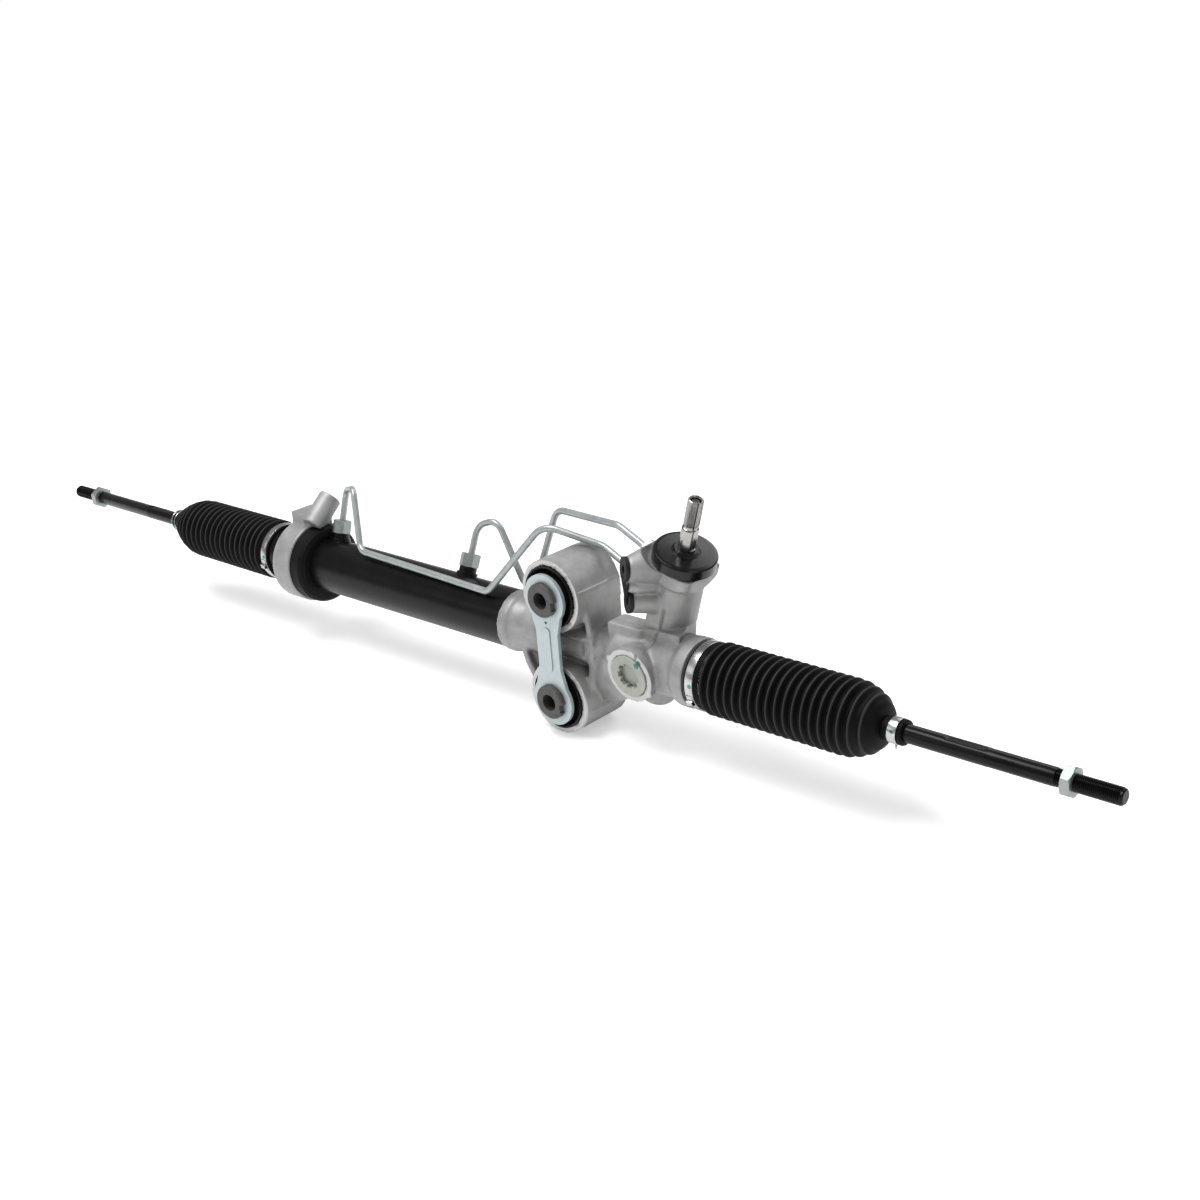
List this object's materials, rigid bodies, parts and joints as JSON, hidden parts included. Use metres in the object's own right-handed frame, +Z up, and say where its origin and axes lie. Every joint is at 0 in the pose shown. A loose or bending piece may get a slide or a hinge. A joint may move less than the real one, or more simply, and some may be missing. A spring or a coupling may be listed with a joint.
{
  "type": "steering rack",
  "caption": "Hydraulic rack-and-pinion steering gear: cast valve housing with link-plate bushes, black power cylinder, feed lines, bellows and threaded tie rods.",
  "frame": {"origin": "middle of the upper mounting bush on its bolt axis, level with the rack axis front to back", "axes": "+X along the rack towards the tie rod on the pinion's side, +Z up from the lower bush to the upper, so the link plate and the rack yoke face -Y"},
  "size_m": [1.363, 0.085, 0.2398],
  "materials": {
    "cast_aluminium": "satin",
    "black_paint": "gloss",
    "black_rubber": "matte",
    "zinc_steel": "satin",
    "grey_steel": "satin",
    "black_steel": "satin",
    "bright_steel": "polished",
    "plug_metal": "matte",
    "black_plastic": "gloss",
    "pale_polymer": "matte",
    "bronze": "satin"
  },
  "bodies": {
    "housing": {"pinion_housing": "cast_aluminium", "cylinder_tube": "black_paint", "end_bush": "black_rubber", "end_bracket": "cast_aluminium", "cylinder_bulkhead": "cast_aluminium", "rack_bushing": "bronze", "retaining_ring": "grey_steel", "outer_rack_seal": "black_rubber", "inner_rack_seal": "black_rubber", "upper_bush_shell": "black_steel", "lower_bush_shell": "black_steel", "upper_bush_rubber": "black_rubber", "lower_bush_rubber": "black_rubber", "upper_bush_sleeve": "grey_steel", "lower_bush_sleeve": "grey_steel", "bush_link_plate": "zinc_steel", "yoke_plunger": "cast_aluminium", "yoke_liner": "bronze", "yoke_o_ring": "black_rubber", "yoke_spring": "bright_steel", "yoke_plug": "plug_metal", "lower_pinion_bearing": "bright_steel", "upper_pinion_bearing": "bright_steel", "input_bearing": "bright_steel", "input_seal": "black_rubber", "bottom_cap": "grey_steel", "dust_cover": "black_plastic", "port_plugs": "black_plastic", "flare_nuts": "zinc_steel", "front_line": "zinc_steel", "rear_line": "zinc_steel", "left_big_clamp": "bright_steel", "right_big_clamp": "bright_steel", "left_bellows": "black_rubber", "right_bellows": "black_rubber"},
    "rack": {"rack_bar": "bright_steel", "piston": "bright_steel", "piston_ring": "pale_polymer", "left_ball_socket": "black_steel", "right_ball_socket": "black_steel"},
    "left_seat": {"left_ball_seat": "pale_polymer"},
    "right_seat": {"right_ball_seat": "pale_polymer"},
    "left_tie": {"left_tie_rod": "black_steel", "left_jam_nut": "zinc_steel", "left_small_clamp": "bright_steel"},
    "right_tie": {"right_tie_rod": "black_steel", "right_jam_nut": "zinc_steel", "right_small_clamp": "bright_steel"},
    "pinion": {"pinion_gear": "bright_steel", "pinion_nut": "grey_steel", "valve_sleeve": "bright_steel", "valve_rings": "pale_polymer"},
    "input": {"input_shaft": "bright_steel", "torsion_bar": "bright_steel", "torsion_pin": "bright_steel"}
  },
  "joints": [
    {"name": "rack_slide", "type": "slide", "parent": "housing", "child": "rack", "axis": [1, 0, 0], "range_m": [-0.0715, 0.0715], "deforming": ["left_bellows", "right_bellows"]},
    {"name": "pinion_turn", "type": "hinge", "parent": "housing", "child": "pinion", "pos_m": [0.09085, 0.01642, -0.04739], "axis": [0.3437, -0.0916, 0.9346], "range_deg": [-512.2, 512.2]},
    {"name": "valve_twist", "type": "hinge", "parent": "pinion", "child": "input", "pos_m": [0.09085, 0.01642, -0.04739], "axis": [0.3437, -0.0916, 0.9346], "range_deg": [-5, 5], "stiffness_Nm_per_rad": 140},
    {"name": "left_rod_rise", "type": "hinge", "parent": "rack", "child": "left_seat", "pos_m": [-0.544, 0, -0.049], "axis": [0, 1, 0], "range_deg": [-18, 18], "deforming": ["left_bellows"]},
    {"name": "left_rod_swing", "type": "hinge", "parent": "left_seat", "child": "left_tie", "pos_m": [-0.544, 0, -0.049], "axis": [0, 0, 1], "range_deg": [-12, 12], "deforming": ["left_bellows"]},
    {"name": "right_rod_rise", "type": "hinge", "parent": "rack", "child": "right_seat", "pos_m": [0.2705, 0, -0.049], "axis": [0, 1, 0], "range_deg": [-18, 18], "deforming": ["right_bellows"]},
    {"name": "right_rod_swing", "type": "hinge", "parent": "right_seat", "child": "right_tie", "pos_m": [0.2705, 0, -0.049], "axis": [0, 0, 1], "range_deg": [-12, 12], "deforming": ["right_bellows"]}
  ],
  "couplings": [
    {"joint": "pinion_turn", "follows": "rack_slide", "rad_per_m": 125}
  ]
}
